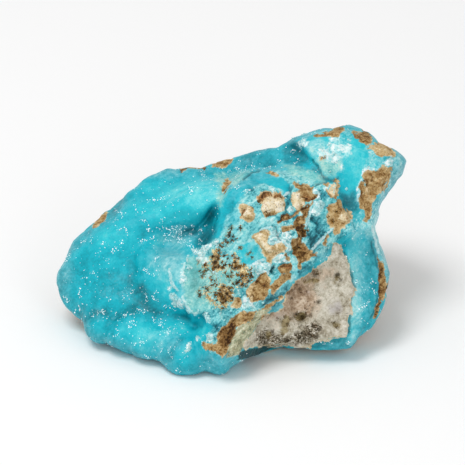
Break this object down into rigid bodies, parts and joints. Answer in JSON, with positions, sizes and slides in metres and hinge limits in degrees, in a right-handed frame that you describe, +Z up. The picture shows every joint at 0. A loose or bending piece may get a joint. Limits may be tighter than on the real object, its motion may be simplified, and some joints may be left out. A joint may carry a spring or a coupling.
{
  "type": "smithsonite specimen",
  "caption": "Small display-size mineral specimen: rounded blue-green smithsonite crust on matrix rock, with a broken crystalline ridge and a flat resting foot.",
  "frame": {"origin": "on the flat foot that the stone rests on, near the middle of the stone", "axes": "+Z up from the foot, +X along the stone's length towards its tall end, -Y out of the display face"},
  "size_m": [0.0701, 0.0518, 0.0375],
  "materials": {
    "stone": "sugary druse of tiny crystals, waxy to glassy, with rough limonite and rock patches"
  },
  "bodies": {
    "root": {"smithsonite_specimen": "stone"}
  },
  "joints": []
}
